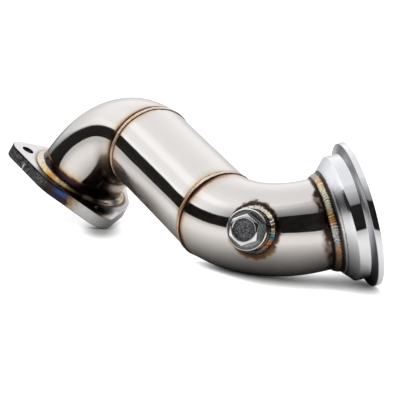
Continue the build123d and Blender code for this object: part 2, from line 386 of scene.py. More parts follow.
class Graph(Nodes):
    """A metal material's nodes; p is the point on the surface in millimetres."""

    def __init__(self, name):
        self.mat = bpy.data.materials.new(name)
        self.mat.use_nodes = True
        super().__init__(self.mat.node_tree)
        self.bsdf = self.tree.nodes["Principled BSDF"]
        self.p = self.vec("SCALE", self.new("TexCoord").outputs["Object"], scale=1 / MM)

    def moved(self, by):
        return self.vec("ADD", self.p, by)

    def voronoi(self, scale, at, feature, out):
        node = self.new("TexVoronoi", Vector=at, Scale=scale)
        node.feature = feature
        if feature == "SMOOTH_F1":
            node.inputs["Smoothness"].default_value = 0.5
        return node.outputs[out]

    def ramp(self, fac, stops):
        """Each stop is a position, and then the three parts of a colour or one grey."""
        node = self.new("ValToRGB")
        elements = node.color_ramp.elements
        while len(elements) < len(stops):
            elements.new(0.5)
        for e, (position, *color) in zip(elements, stops):
            e.position = position
            e.color = (*(color if len(color) == 3 else color * 3), 1)
        return self.fill(node, fac)

    def mix(self, fac, a, b, blend="MIX"):
        node = self.new("Mix")
        node.data_type, node.blend_type = "RGBA", blend
        self.feed(node.inputs[0], fac)
        self.feed(node.inputs[6], a)
        self.feed(node.inputs[7], b)
        return node.outputs[2]

    def tint(self, color, by):
        return self.mix(1.0, color, by, "MULTIPLY")

    def lighten(self, color, by):
        return self.mix(1.0, color, by, "LIGHTEN")

    def attribute(self, name):
        node = self.new("Attribute")
        node.attribute_name = name
        return node.outputs["Fac"]

    def away(self, frame):
        return self.vec("SUBTRACT", self.p, tuple(frame.o))

    def side(self, frame, direction):
        """Distance in millimetres from a frame's origin along a direction."""
        return self.vec("DOT_PRODUCT", self.away(frame), tuple(direction))

    def height(self, frame):
        return self.side(frame, frame.z)

    def radius(self, frame):
        """Distance in millimetres from a frame's z axis."""
        return self.vec("LENGTH", self.vec("CROSS_PRODUCT", self.away(frame), tuple(frame.z)))

    def distance(self, frame):
        return self.vec("DISTANCE", self.p, tuple(frame.o))

    def turn(self, frame):
        """Part of a turn round a frame's z axis, from 0 at its x axis to 1."""
        angle = self.math("ARCTAN2", self.side(frame, frame.y), self.side(frame, frame.x))
        return self.math("FRACT", self.add(self.math("DIVIDE", angle, FULL_TURN), 1.0))

    def bump(self, height, distance, strength):
        """A bump's normal; its distance is in millimetres."""
        return self.new("Bump", Strength=strength, Distance=distance * MM, Height=height).outputs[0]

    def metal(self, color, rough, normal):
        looks = {"Base Color": color, "Roughness": rough, "Metallic": 1.0, "Normal": normal}
        for key, value in looks.items():
            self.feed(self.bsdf.inputs[key], value)
        return self.mat

    def show(self, shader):
        """Puts another shader in the metal's place."""
        self.tree.nodes.remove(self.bsdf)
        self.feed(self.tree.nodes["Material Output"].inputs[0], shader)
        return self.mat


WHITE = (1, 1, 1)
STEEL = (0.82, 0.8, 0.785)
SOOT = (0.1, 0.06, 0.045)

# Heat colours from a weld outwards. Each multiplies the steel's colour
SEAM_STRONG = [
    (0, 0.1, 0.055, 0.06), (0.07, 0.16, 0.08, 0.08), (0.13, 0.52, 0.32, 0.27), (0.25, 0.72, 0.54, 0.46),
    (0.33, 0.89, 0.8, 0.71), (0.55, 0.96, 0.93, 0.89), (1, 1),
]
SEAM_WEAK = [
    (0, 0.16, 0.09, 0.08), (0.05, 0.42, 0.26, 0.22), (0.12, 0.86, 0.72, 0.56), (0.3, 0.95, 0.9, 0.8),
    (0.7, 1),
]
SMEAR = [
    (0, 0.16, 0.09, 0.08), (0.45, 0.24, 0.14, 0.12), (0.62, 0.56, 0.39, 0.34), (0.8, 0.88, 0.78, 0.7),
    (1, 1),
]
ROSE = [
    (0, 0.07, 0.035, 0.045), (0.22, 0.14, 0.07, 0.085), (0.32, 0.4, 0.24, 0.22), (0.42, 0.74, 0.52, 0.38),
    (0.52, 0.9, 0.76, 0.52), (0.7, 0.96, 0.89, 0.76), (1, 1),
]
BURNT = [
    (0, 0.028, 0.02, 0.018), (0.46, 0.05, 0.034, 0.03), (0.58, 0.16, 0.115, 0.1), (0.66, 0.44, 0.37, 0.35),
    (0.78, 0.82, 0.76, 0.73), (1, 1),
]
BROWN = [
    (0, 0.12, 0.06, 0.035), (0.4, 0.3, 0.17, 0.1), (0.66, 0.58, 0.4, 0.22), (0.82, 0.92, 0.8, 0.58), (1, 1),
]
FOOT = [
    (0, 0.035, 0.02, 0.024), (0.3, 0.07, 0.035, 0.048), (0.4, 0.16, 0.08, 0.09), (0.47, 0.55, 0.36, 0.22),
    (0.56, 0.9, 0.76, 0.5), (0.75, 0.97, 0.93, 0.86), (1, 1),
]

# How strong the smears are round each seam, by the part of a turn
SMEAR_LOWER = [
    (0.2, 0.1), (0.27, 0.9), (0.33, 1), (0.38, 0.5), (0.47, 0.3), (0.5, 0.9), (0.555, 0.9), (0.56, 0.05),
]
SMEAR_UPPER = [(0.4, 0), (0.47, 0.5), (0.54, 0.8), (0.62, 0.9), (0.665, 0.7), (0.68, 0.1)]

# Millimetres: what puts a distance out of reach, and how far a mark goes from its weld's middle
OUT_OF_REACH = 200.0
SEAM_LIMIT = 48.0
OUTLET_LIMIT = 60.0
NEAR_LIMIT = 98.0
NEAR_FADE = (92.0, 62.0)
ROSE_REACH = 24.0
FOOT_REACH = 24.0


def heat(g, distance, reach, stops, jitter, seed, scale=0.22):
    """Heat colours that fade with the distance from a weld, in millimetres."""
    at = g.moved(seed)
    slow = g.swing(g.noise(scale, at=at), jitter * 2)
    fine = g.swing(g.noise(scale * 4, 2, 0.5, at=at), jitter * 0.7)
    part = g.math("DIVIDE", distance, reach)
    return g.ramp(g.add(part, g.mul(g.add(slow, fine), g.span(part, 0, 0.3))), stops)


def unless(g, test, distance):
    """The distance from a weld, out of reach of its colours where a test holds."""
    return g.madd(test, OUT_OF_REACH, distance)


def beyond(g, distance, frame, limit):
    """The distance from a weld, out of reach where the point is too far from its frame."""
    return unless(g, g.more(g.distance(frame), limit), distance)


def seam_marks(g):
    """Heat colours beside both seams, with darker smears on the elbows' sides."""
    marks = []
    for seam, elbow_side, seed, smear_seed, smears in (
        (lower_seam, 1.0, (11, 0, 0), (4, 0, 0), SMEAR_LOWER),
        (upper_seam, -1.0, (0, 37, 0), (0, 6, 0), SMEAR_UPPER),
    ):
        turn = g.turn(seam)
        h = g.mul(g.height(seam), elbow_side)
        d = beyond(g, g.sub(g.math("ABSOLUTE", h), 1.7), seam, SEAM_LIMIT)
        reach = g.span(g.noise(0.045, 1, 0.5, at=g.moved(seed)), 0.3, 0.7, 8.0, 15.0)
        strong = heat(g, d, reach, SEAM_STRONG, 0.1, seed)
        weak = heat(g, d, reach, SEAM_WEAK, 0.1, seed)
        clean = g.ramp(turn, [(0.4, 0), (0.46, 0.8), (0.56, 0.8), (0.62, 0)])
        marks.append(g.mix(g.more(h, 0.0), g.mix(clean, weak, WHITE), strong))
        d = unless(g, g.less(h, 0.0), beyond(g, g.sub(h, 1.5), seam, SEAM_LIMIT))
        width = g.madd(g.ramp(turn, smears), 4.6, 0.05)
        marks.append(heat(g, d, width, SMEAR, 0.16, smear_seed, 0.3))
    return marks


def inner_marks(g):
    """Marks on the inner side of the upper seam, where elbow and straight tube are dull, and a painted dark
    reflection on the straight tube.
    """
    h, turn = g.height(upper_seam), g.turn(upper_seam)
    # Wide dark heat mark and dull steel on the elbow
    d = beyond(g, g.madd(h, -1.0, -1.6), upper_seam, SEAM_LIMIT)
    d = unless(g, g.more(h, 0.0), d)
    inner = g.ramp(
        turn,
        [(0, 1), (0.2, 0.9), (0.3, 0.06), (0.5, 0.06), (0.62, 0.18), (0.72, 0.34), (0.88, 0.5), (0.93, 1)],
    )
    rose = heat(g, d, g.mul(inner, ROSE_REACH), ROSE, 0.1, (2, 8, 4))
    dull = g.ramp(turn, [(0, 1), (0.25, 1), (0.32, 0), (0.8, 0), (0.86, 0.8), (0.93, 1)])
    dull = g.mul(dull, g.span(d, ROSE_REACH, 10.0))
    # The straight tube is dull too where it leaves the same side of that seam
    near = g.ramp(turn, [(0, 1), (0.22, 1), (0.3, 0), (0.79, 0), (0.86, 1)])
    d = unless(g, g.less(h, 0.0), beyond(g, h, upper_seam, NEAR_LIMIT))
    near = g.mul(near, g.span(d, *NEAR_FADE))
    # A painted dark reflection in it, close to the seam
    edge = g.span(g.madd(h, -0.0008, turn), 0.845, 0.878)
    painted_reflection = g.math("MAXIMUM", edge, g.span(turn, 0.24, 0.18))
    painted_reflection = g.mul(painted_reflection, g.span(h, 62.0, 40.0), g.more(h, 0), g.less(g.distance(upper_seam), 74.0))
    tints = ((dull, (0.26, 0.22, 0.2)), (near, (0.6, 0.58, 0.56)), (painted_reflection, (0.3, 0.29, 0.28)))
    return [rose] + [g.mix(where, WHITE, color) for where, color in tints], dull, near


def outlet_mark(g):
    """Dark patchy heat mark on the tube beside the outlet weld, narrow at its top."""
    d = beyond(g, g.madd(g.height(seat), -1.0, -2.4), seat, OUTLET_LIMIT)
    width = g.ramp(
        g.turn(seat), [(0.2, 0.25), (0.27, 0.35), (0.31, 0.95), (0.36, 0.75), (0.45, 0.9), (0.6, 0.8)]
    )
    burnt = heat(g, d, g.mul(width, 9.0), BURNT, 0.34, (5, 9, 0), 0.09)
    patch = g.mul(g.span(g.noise(0.16), 0.46, 0.62), g.span(d, 0.9, 2.2, 0, 0.8))
    return g.mix(patch, burnt, g.lighten(burnt, (0.4, 0.31, 0.28)))


def boss_mark(g):
    """Scalloped mark round the boss weld, dark above and beside it and brown below."""
    turn = g.turn(boss)
    d = unless(g, g.less(g.height(boss), 5.0), g.sub(g.radius(boss), 16.4))
    width = g.ramp(
        turn,
        [(0, 0.66), (0.1, 0.5), (0.2, 0.55), (0.28, 0.62), (0.38, 0.3), (0.6, 0.35), (0.8, 0.7), (1, 0.66)],
    )
    lobes = g.span(g.voronoi(0.22, g.moved((3, 1, 7)), "SMOOTH_F1", "Distance"), 0.1, 0.9, 1.25, 0.8)
    reach = g.mul(width, lobes, 7.0)
    dark = heat(g, d, reach, BURNT, 0.34, (3, 1, 17), 0.4)
    streaks = g.span(g.noise(0.5, 4, at=g.moved((9, 2, 1))), 0.5, 0.66, 0, 0.6)
    dark = g.mix(streaks, dark, g.lighten(dark, (0.26, 0.24, 0.22)))
    brown = heat(g, d, reach, BROWN, 0.12, (3, 1, 17))
    below = g.ramp(turn, [(0, 0), (0.5, 0), (0.58, 1), (0.84, 1), (0.92, 0.2), (1, 0)])
    return g.mix(below, dark, brown)


def foot_mark(g):
    """Dark ring at the foot of the pipe, on the flange plate."""
    d = beyond(g, g.sub(g.height(flange_top), 3.2), flange_top, SEAM_LIMIT)
    reach = g.ramp(
        g.turn(flange_top), [(0, 0.7), (0.04, 0.72), (0.12, 0.6), (0.2, 0.5), (0.9, 0.5), (1, 0.7)]
    )
    return heat(g, d, g.mul(reach, FOOT_REACH), FOOT, 0.1, (21, 1, 7))


def tube_material():
    """Polished steel with the heat marks of every weld, a painted dark reflection beside the upper seam, and
    a brown sooty inside.
    """
    g = Graph("polished_tube")
    inner, dull, near = inner_marks(g)
    color = STEEL
    for mark in seam_marks(g) + inner + [outlet_mark(g), boss_mark(g), foot_mark(g)]:
        color = g.tint(color, mark)
    inside = g.attribute("inside")
    color = g.mix(inside, color, g.mix(g.noise(0.12, 4), (0.2, 0.14, 0.11), (0.46, 0.38, 0.32)))
    burn = g.span(g.fill(g.new("RGBToBW"), color), 0.55, 0.1)
    rough = g.span(g.noise(0.05, 4), 0.3, 0.7, 0.04, 0.075)
    for where, more in ((burn, 0.16), (dull, 0.14), (near, 0.16), (inside, 0.25)):
        rough = g.madd(where, more, rough)
    height = g.mul(g.noise(1.4, 4), g.madd(burn, 2.5, 0.3))
    return g.metal(color, rough, g.bump(height, 0.03, 0.4))


def bead_material(
    name, seed, around, dark_edge, spots, rough=0.24, serrated=0.2, inner_band=None, painted_shade_turns=None, painted_groove_shade=0.75,
    crust=0.0, toe_color=(0.045, 0.03, 0.026),
):
    """Weld bead: colours that change round the joint, with patches, sooty toes and ripples, painted shade in
    the ripples' valleys, and painted shade on its upper half where asked.
    """
    g = Graph(name)
    at = g.moved((seed, seed * 1.7, -seed))
    tone = g.noise(0.28, 4, 0.62, at=at)
    small = g.noise(1.3, at=at)
    turn, groove, edge, across = (g.attribute(key) for key in ("turn", "groove", "edge", "across"))
    color = g.ramp(g.add(turn, g.swing(tone, 0.06)), around)
    patch = g.ramp(
        g.add(tone, g.swing(small, 0.35)),
        [
            (0.26, 0.42, 0.52, 0.62), (0.38, 0.92, 0.88, 0.84), (0.5, 1.0, 0.97, 0.88),
            (0.6, 0.95, 0.72, 0.45), (0.7, 0.7, 0.38, 0.26),
        ],
    )
    color = g.mix(spots, color, g.tint(color, patch))
    # Painted shade: the ripples' valleys are darker
    color = g.mix(g.span(groove, 0.55, 0.05, 0, painted_groove_shade), color, (0.1, 0.065, 0.05))
    if crust:
        # Rough crust: small pale and dark flecks
        flecks = g.voronoi(1.6, at, "F1", "Color")
        fleck = g.ramp(flecks, [(0.25, 0.42, 0.38, 0.34), (0.45, 0.86, 0.84, 0.8), (0.7, 1)])
        color = g.mix(crust, color, g.tint(color, fleck))
    saw = g.madd(g.sub(1.0, groove), serrated, g.swing(g.noise(0.5, at=at), 0.5))
    toe = g.span(g.add(edge, saw), 1 - dark_edge - 0.12, 1 - dark_edge + 0.1)
    color = g.mix(toe, color, toe_color)
    if inner_band is not None:
        # A second pass beside the first, and the dark groove between them
        seam = g.add(across, g.swing(tone, 0.3))
        second = g.mix(g.span(small, 0.4, 0.62), inner_band, (0.16, 0.1, 0.08))
        color = g.mix(g.span(seam, 0.78, 0.82), color, second)
        split = g.mul(g.span(seam, 0.6, 0.66), g.span(seam, 0.88, 0.8))
        color = g.mix(split, color, (0.03, 0.028, 0.03))
    # Painted shade over the bead's upper half, at the listed parts of a turn
    if painted_shade_turns is not None:
        shade = g.mul(g.ramp(turn, painted_shade_turns), g.span(across, 0.36, 0.52))
        color = g.mix(shade, color, (0.022, 0.017, 0.016))
    soot = g.span(g.noise(0.7, 5, 0.7, at=g.vec("ADD", at, (40, 3, 9))), 0.55, 0.68)
    color = g.mix(g.mul(soot, 0.62), color, SOOT)
    normal = g.bump(g.noise(3.2, 4, 0.65, at=at), 0.12, 0.6)
    return g.metal(color, g.madd(small, 0.22, rough - 0.1), normal)


def outlet_material():
    """Turned and polished outlet: bright cool steel with fine rings."""
    g = Graph("turned_steel")
    t, r, turn = g.height(seat), g.radius(seat), g.turn(seat)
    rings = g.noise(1.0, at=g.combine(g.mul(t, 5.0), g.mul(r, 5.0), g.mul(turn, 9.0)))
    color = g.mix(g.noise(0.06, 3, 0.5), (0.88, 0.9, 0.95), (0.95, 0.96, 0.99))
    color = g.mix(g.span(rings, 0.35, 0.7, 0, 0.16), color, (0.62, 0.64, 0.7))
    # Dark pitted heat mark where the cone meets the weld, with a thin line beyond it
    burn = g.add(t, g.swing(g.noise(1.1), 1.4))
    color = g.mix(g.span(burn, 4.35, 4.05), color, (0.05, 0.04, 0.04))
    line = g.mul(g.span(burn, 5.2, 5.4), g.span(burn, 6.0, 5.7), g.span(turn, 0.28, 0.36, 0, 0.8))
    color = g.mix(line, color, (0.07, 0.05, 0.06))
    color = g.mix(g.span(burn, 6.5, 4.0, 0, 0.2), color, (0.42, 0.38, 0.36))
    # Painted shade: the valley behind the lip is darker low down
    lip = g.mul(g.more(r, BARREL_R + 0.3), g.less(t, LIP_START + 0.2), g.more(t, BARREL_END - 0.1))
    level = g.side(seat, (0, 0, 1))
    valley_shade = g.mix(g.span(level, -45.0, 45.0), (0.22, 0.22, 0.26), (0.8, 0.81, 0.85))
    color = g.mix(lip, color, valley_shade)
    bore = g.mul(g.less(r, OUTLET_BORE_R + 0.1), g.less(t, REGISTER_H - 0.1), g.less(g.sub(r, t), 30.8))
    color = g.mix(bore, color, (0.46, 0.42, 0.4))
    rough = g.span(t, CONE_END - 3.0, CONE_END + 0.2, 0.24, 0.05)
    rough = g.add(g.span(burn, 5.2, 3.8, 0, 0.25), g.madd(lip, 0.2, rough))
    rough = g.madd(bore, 0.25, rough)
    leaning = g.vec("ADD", g.bump(rings, 0.04, 0.35), (0, 0, OUTLET_LEAN))
    return g.metal(color, rough, g.vec("NORMALIZE", leaning))


def plate_side(g, h, along, streak, cut):
    """The plate's cut side: dark, scratched on the left, then heat colours, pale on the right, the change
    from dark to pale being painted reflection.
    """
    rough_grey = g.mix(g.span(streak, 0.42, 0.66), (0.02, 0.02, 0.025), (0.4, 0.4, 0.42))
    # Painted reflection: along the side, dark on the left turning pale on the right, with heat colours
    # between
    where = g.madd(h, -0.7, g.add(along, g.madd(cut, 10.0, -10.5)))
    fade = g.ramp(
        g.span(where, -30.0, 0, smooth=False),
        [
            (0, 0.1, 0.085, 0.05), (0.14, 0.06, 0.045, 0.035), (0.28, 0.09, 0.05, 0.1),
            (0.38, 0.05, 0.09, 0.3), (0.52, 0.05, 0.12, 0.36), (0.62, 0.12, 0.08, 0.14),
            (0.72, 0.42, 0.27, 0.12), (0.82, 0.62, 0.55, 0.44), (1, 0.9, 0.9, 0.92),
        ],
    )
    burnt = g.mul(g.span(h, -3.2, -5.2), g.span(where, -8.5, -11.0), 0.85)
    fade = g.mix(burnt, fade, (0.045, 0.03, 0.028))
    color = g.mix(g.span(where, -30.0, -25.0), rough_grey, fade)
    color = g.mix(g.span(streak, 0.55, 0.8, 0, 0.3), color, (0.8, 0.8, 0.8))
    upper_edge = g.mul(g.span(h, -1.5, -0.9), g.span(along, -4.0, -14.0))
    color = g.mix(upper_edge, color, (0.012, 0.012, 0.014))
    color = g.mix(g.span(h, 0.45 - FLANGE_T, 0.2 - FLANGE_T), color, (0.03, 0.03, 0.03))
    # Painted shade on the walls of the three bolt holes, by the distance squared from the nearest one's axis
    r = g.radius(flange_top)
    third = g.math("FRACT", g.madd(g.turn(flange_top), 3.0, 0.5))
    third = g.math("COSINE", g.mul(g.sub(third, 0.5), FULL_TURN / 3))
    from_hole = g.add(g.mul(r, third, -2 * BOLT_R), g.madd(r, r, BOLT_R**2))
    color = g.mix(g.less(from_hole, BOLT_HOLE_R**2), color, (0.035, 0.025, 0.022))
    # A bright scratch across the cut side
    across = g.add(g.madd(h, -0.474, along), g.madd(cut, 0.8, 37.8))
    scratch = g.mul(g.span(g.math("ABSOLUTE", across), 0.6, 0.25), g.span(h, -3.2, -4.4))
    return g.mix(scratch, color, (0.8, 0.8, 0.8))


def plate_face(g, cut):
    """The plate's bright top, with a dark ring round the weld and painted dark reflection and shade beside
    part of it.
    """
    turn = g.turn(flange_top)
    color = g.mix(cut, (0.74, 0.73, 0.75), (0.86, 0.85, 0.87))
    r = g.add(g.radius(flange_top), g.swing(g.noise(0.4), 1.2))
    line = g.ramp(
        g.span(r, 36.5, 41.5, smooth=False),
        [
            (0, 0.03, 0.02, 0.02), (0.18, 0.1, 0.06, 0.05), (0.28, 0.6, 0.5, 0.42), (0.45, 0.93, 0.9, 0.86),
            (1, 1),
        ],
    )
    faint = g.ramp(turn, [(0.48, 1), (0.56, 0.45), (0.68, 0.45), (0.76, 1)])
    color = g.mix(faint, color, line, "MULTIPLY")
    corner = g.ramp(turn, [(0, 1), (0.16, 1), (0.28, 0), (0.85, 0), (0.95, 1)])
    color = g.mix(corner, color, g.tint(color, (0.84, 0.83, 0.84)))
    # Painted dark reflection and shade beside the weld, over part of a turn and fading outwards
    painted_shade_turns = g.ramp(
        g.add(turn, g.swing(cut, 0.05)),
        [(0, 1), (0.03, 0.95), (0.08, 0.4), (0.14, 0.2), (0.3, 0), (0.74, 0), (0.82, 0.95), (1, 1)],
    )
    far = g.ramp(turn, [(0, 0.7), (0.05, 0), (0.8, 0), (0.88, 1), (0.97, 1), (1, 0.7)])
    reach = g.span(g.madd(far, -12.0, g.add(r, g.swing(cut, 6.0))), 46.0, 41.0)
    return g.mix(g.mul(painted_shade_turns, reach), color, (0.03, 0.022, 0.02))


def plate_material():
    g = Graph("plate_steel")
    h = g.height(flange_top)
    cut = g.noise(0.35, 5, 0.65)
    x, y = g.side(flange_top, flange_top.x), g.side(flange_top, flange_top.y)
    streak = g.noise(1.1, 6, 0.75, at=g.combine(x, y, g.mul(h, 0.55)))
    top = g.span(h, -0.3, -0.12)
    side = plate_side(g, h, g.side(flange_top, CAMERA_RIGHT), streak, cut)
    rough = g.madd(cut, 0.16, g.madd(top, -0.26, 0.4))
    normal = g.bump(g.add(streak, g.mul(cut, 0.6)), 0.16, 0.5)
    return g.metal(g.mix(top, side, plate_face(g, cut)), rough, normal)


def plug_material():
    """Plug: bright hexagon, turned collar with a painted highlight on its rim, and a dish with pitted grain
    and painted shade towards its edge.
    """
    g = Graph("plug_steel")
    r, h = g.radius(boss), g.height(boss)
    lathe_rings = g.noise(1.0, at=g.combine(g.mul(r, 5.0)))
    low = g.less(h, COLLAR_FACE + 0.55)
    dish = g.mul(g.less(r, DISH_R - 0.35), g.more(h, 47.0))
    collar = g.mul(g.less(r, COLLAR_R - 0.6), low)
    grain = g.noise(1.3, 5, 0.8)
    scratch = g.noise(0.9, 4, 0.7, at=g.vec("MULTIPLY", g.p, (3.0, 0.6, 3.0)))
    color = g.mix(g.noise(0.4), (0.84, 0.85, 0.87), (0.97, 0.98, 1.0))
    turned = g.mix(g.span(scratch, 0.3, 0.7), (0.24, 0.26, 0.28), (0.62, 0.64, 0.66))
    color = g.mix(collar, color, turned)
    pits = g.mix(g.span(grain, 0.42, 0.66), (0.035, 0.038, 0.042), (0.56, 0.58, 0.61))
    # Painted shade: the dish darkens towards its edge
    pits = g.mix(g.span(r, 5.6, 6.6, 0, 0.5), pits, (0.05, 0.052, 0.058))
    color = g.mix(dish, color, pits)
    # Painted highlight: the collar's rounded rim is white
    color = g.mix(g.mul(g.span(r, COLLAR_R - 0.8, COLLAR_R - 0.6), low), color, WHITE)
    rough = g.madd(dish, 0.2, g.madd(collar, 0.1, 0.12))
    return g.metal(color, rough, g.bump(g.madd(g.mul(grain, dish), 6.0, lathe_rings), 0.16, 0.5))


def boss_material():
    g = Graph("boss_steel")
    dirt = g.noise(0.8, 4)
    return g.metal(g.mix(dirt, (0.1, 0.08, 0.07), (0.4, 0.35, 0.31)), 0.3, g.bump(dirt, 0.1, 0.4))


# The beads' colours go round their joints, by the part of a turn
tube_steel = tube_material()
turned_steel = outlet_material()
plate_steel = plate_material()
plug_steel = plug_material()
boss_steel = boss_material()
upper_seam_steel = bead_material(
    "upper_seam_bead",
    3.0,
    [
        (0, 0.72, 0.56, 0.42), (0.42, 0.86, 0.78, 0.7), (0.5, 0.96, 0.93, 0.9), (0.6, 0.93, 0.86, 0.76),
        (0.68, 0.9, 0.72, 0.6), (0.74, 0.86, 0.8, 0.66), (0.82, 0.85, 0.66, 0.52), (0.9, 0.9, 0.8, 0.62),
        (1, 0.72, 0.56, 0.42),
    ],
    dark_edge=0.22, spots=0.65, toe_color=(0.24, 0.13, 0.11),
)
lower_seam_steel = bead_material(
    "lower_seam_bead",
    8.0,
    [
        (0, 0.6, 0.46, 0.4), (0.14, 0.8, 0.68, 0.62), (0.22, 0.9, 0.8, 0.74), (0.29, 0.92, 0.84, 0.74),
        (0.335, 0.72, 0.62, 0.48), (0.36, 0.64, 0.38, 0.26), (0.4, 0.72, 0.4, 0.26),
        (0.45, 0.86, 0.62, 0.46), (0.5, 0.84, 0.6, 0.44), (0.56, 0.6, 0.4, 0.28), (0.66, 0.42, 0.3, 0.24),
        (1, 0.6, 0.46, 0.4),
    ],
    dark_edge=0.26, spots=0.7,
)
flange_bead = bead_material(
    "flange_bead",
    19.0,
    [
        (0, 0.05, 0.045, 0.04), (0.02, 0.82, 0.82, 0.83), (0.045, 0.66, 0.65, 0.66),
        (0.07, 0.1, 0.085, 0.07), (0.085, 0.1, 0.085, 0.07), (0.1, 0.5, 0.42, 0.3), (0.13, 0.8, 0.71, 0.54),
        (0.2, 0.85, 0.76, 0.6), (0.56, 0.88, 0.8, 0.68), (0.62, 0.9, 0.87, 0.8), (0.72, 0.94, 0.9, 0.82),
        (0.775, 0.92, 0.8, 0.56), (0.8, 0.86, 0.6, 0.26), (0.815, 0.8, 0.42, 0.14), (0.83, 0.8, 0.66, 0.46),
        (0.86, 0.56, 0.45, 0.31), (0.885, 0.4, 0.3, 0.19), (0.905, 0.1, 0.08, 0.07),
        (0.93, 0.05, 0.045, 0.04), (0.95, 0.62, 0.62, 0.65), (0.965, 0.46, 0.46, 0.48),
        (0.98, 0.04, 0.035, 0.03), (1, 0.04, 0.035, 0.03),
    ],
    dark_edge=0.12, spots=0.95, rough=0.2, serrated=0.25, painted_groove_shade=0.5, crust=0.3,
    # Painted shade on the bead's upper half, by the part of a turn
    painted_shade_turns=[
        (0, 1), (0.012, 0), (0.07, 0), (0.085, 1), (0.1, 0.2), (0.86, 0), (0.9, 1), (0.937, 1), (0.945, 0),
        (0.965, 0), (0.975, 1), (1, 1),
    ],
)
outlet_bead = bead_material(
    "outlet_bead",
    31.0,
    [
        (0, 0.72, 0.66, 0.52), (0.17, 0.8, 0.66, 0.54), (0.215, 0.52, 0.62, 0.62),
        (0.238, 0.92, 0.86, 0.68), (0.25, 0.86, 0.38, 0.2), (0.262, 0.92, 0.88, 0.68),
        (0.32, 0.86, 0.9, 0.8), (0.355, 0.78, 0.8, 0.66), (0.378, 0.9, 0.7, 0.34), (0.39, 0.95, 0.44, 0.14),
        (0.4, 0.95, 0.4, 0.12), (0.415, 0.78, 0.84, 0.82), (0.45, 0.66, 0.76, 0.78),
        (0.47, 0.44, 0.56, 0.68), (0.49, 0.8, 0.52, 0.3), (0.56, 0.46, 0.36, 0.24), (0.64, 0.4, 0.3, 0.22),
        (1, 0.72, 0.66, 0.52),
    ],
    dark_edge=0.2, spots=0.6, rough=0.28, serrated=0.55, painted_groove_shade=0.3, crust=0.6,
)
boss_bead = bead_material(
    "boss_bead",
    47.0,
    [
        (0, 0.62, 0.54, 0.38), (0.03, 0.88, 0.8, 0.58), (0.07, 0.94, 0.92, 0.84), (0.11, 0.86, 0.92, 0.98),
        (0.14, 0.96, 0.92, 0.72), (0.18, 0.72, 0.74, 0.74), (0.28, 0.78, 0.76, 0.74),
        (0.5, 0.45, 0.36, 0.28), (0.78, 0.3, 0.33, 0.33), (0.84, 0.46, 0.54, 0.5), (0.87, 0.9, 0.3, 0.13),
        (0.925, 0.95, 0.44, 0.26), (0.945, 0.1, 0.26, 0.36), (0.97, 0.16, 0.4, 0.46), (1, 0.62, 0.54, 0.38),
    ],
    dark_edge=0.14, spots=0.6, rough=0.2, serrated=0.3, inner_band=(0.44, 0.28, 0.19),
)


# Tubes
TUBE_COLS = 192
TUBE_SHARP = 35
SUNK = 0.13


def tube_piece(name, run, start, end, step, seed):
    """A bent or straight tube with its wall, between two planes, each with its distance up the run."""
    u = np.linspace(0, FULL_TURN, TUBE_COLS, endpoint=False)
    o_low, o_high = (run.meet(u, TUBE_R, *cut) for cut in (start, end))
    i_low, i_high = (run.meet(u, BORE_R, *cut) for cut in (start, end))
    rows = int(max(8, (o_high - o_low).mean() / step))
    t = np.linspace(0, 1, rows)[:, None]
    outer = run.point(o_low + (o_high - o_low) * t, u, TUBE_R)
    centre = run.point(o_low + (o_high - o_low) * t, u, 0.0)
    # The surface is a little uneven and sunk, apart from the ends, where the beads lie on it
    hold = np.minimum(1, np.minimum(t, 1 - t) * 8)
    swell = wobble(outer, 0.045, seed) * 0.1 + wobble(outer, 0.13, seed + 5) * 0.016 - SUNK
    outer = outer + (outer - centre) / TUBE_R * (swell * hold)[..., None]
    t_in = np.linspace(0, 1, max(6, rows // 3))[:, None]
    inner = run.point(i_low + (i_high - i_low) * t_in, u, BORE_R)
    loop = np.concatenate([outer, inner[::-1]])
    inside = np.repeat([0.0, 1.0], [outer[..., 0].size, inner[..., 0].size])
    faces = wrap_faces(len(loop), TUBE_COLS)
    add_piece(name, loop, faces, tube_steel, TUBE_SHARP, {"inside": inside})


lower_run = Run(lower_end, LOWER_BEND)
middle_run = Run(middle_end, 0)
upper_run = Run(upper_end, UPPER_BEND)
tube_piece("lower_elbow", lower_run, (seat.along(HUB), -LEG - HUB), (lower_seam, lower_run.length), 1.3, 1.0)
tube_piece("middle_tube", middle_run, (lower_seam, 0.0), (upper_seam, MIDDLE), 2.0, 9.0)
tube_piece("upper_elbow", upper_run, (upper_seam, 0.0), (flange_top, upper_run.length), 1.3, 17.0)


# Weld beads, in millimetres. Their unevenness is noise, read at the radius AT_R of each
BEAD_SHARP = 70
SEAM_WIDTH = 2.0
SEAM_PITCH = 1.35
FLANGE_AT_R, FLANGE_TOE_R, FLANGE_ROOT_R, FLANGE_PITCH = 35.0, 36.5, 30.9, 2.6
OUTLET_AT_R, OUTLET_ROOT_R, OUTLET_PITCH = 33.0, 31.2, 1.9
BOSS_AT_R, BOSS_TOE_R, BOSS_PITCH = 15.0, 16.7, 3.9


def scallops(run, across, pitch, seed, bow=0.5):
    """Overlapping ripples of a bead, from 0 in the valleys to 1 on the crests."""
    steps = np.linspace(0, run.max(), 60)
    jitter = np.interp(run, steps, np.random.RandomState(seed).uniform(-0.35, 0.35, len(steps)))
    phase = run / pitch + jitter - bow * across**2
    part = phase - np.floor(phase)
    return np.clip(part / 0.75, 0, 1) ** 0.6 * np.clip((1 - part) / 0.25, 0, 1) ** 0.5


def dome(v):
    """A shallow arch over v from 0 to 1."""
    return 4 * v * (1 - v)


